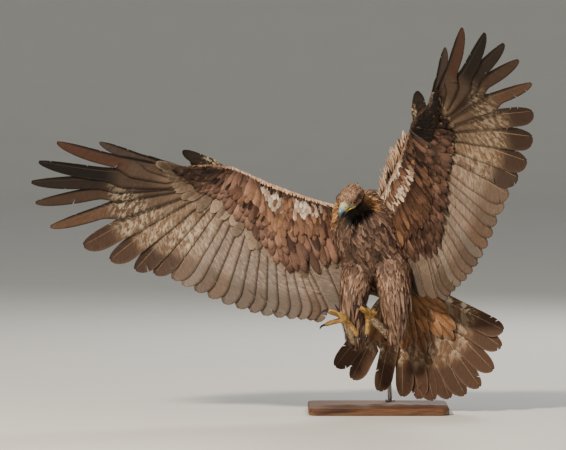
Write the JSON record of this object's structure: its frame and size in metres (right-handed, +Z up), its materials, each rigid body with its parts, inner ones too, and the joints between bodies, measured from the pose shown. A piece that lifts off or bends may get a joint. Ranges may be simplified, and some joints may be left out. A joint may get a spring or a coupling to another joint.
{
  "type": "golden eagle",
  "caption": "Life-size golden eagle coming in to land, wings spread wide and swept forward, feet raised, tail fanned, held by one rod on a flat display base.",
  "frame": {"origin": "centre of the display base's underside", "axes": "+Z up, -Y the way the breast faces, +X towards the bird's own left side"},
  "size_m": [1.4543, 0.9471, 1.1451],
  "materials": {
    "body_plumage": "matte dark brown feathers",
    "flight_plumage": "grey-brown barred vanes, satin",
    "yellow_skin": "scaly yellow skin",
    "claw_horn": "polished black horn",
    "bill_horn": "blue-grey horn darkening to the tip",
    "eye": "glossy orange-brown iris",
    "stand_wood": "satin dark walnut",
    "stand_steel": "brushed"
  },
  "bodies": {
    "root": {"torso": "body_plumage", "neck": "body_plumage", "head": "body_plumage", "thigh_right": "body_plumage", "thigh_left": "body_plumage", "tarsus_right": "body_plumage", "tarsus_left": "body_plumage", "wing_right": "flight_plumage", "wing_left": "flight_plumage", "tail": "flight_plumage", "foot_right": "yellow_skin", "foot_left": "yellow_skin", "cere": "yellow_skin", "claw_right_inner": "claw_horn", "claw_right_middle": "claw_horn", "claw_right_outer": "claw_horn", "claw_right_hallux": "claw_horn", "claw_left_inner": "claw_horn", "claw_left_middle": "claw_horn", "claw_left_outer": "claw_horn", "claw_left_hallux": "claw_horn", "bill_upper": "bill_horn", "bill_lower": "bill_horn", "eye_right": "eye", "eye_left": "eye", "stand_base": "stand_wood", "stand_rod": "stand_steel"}
  },
  "joints": []
}
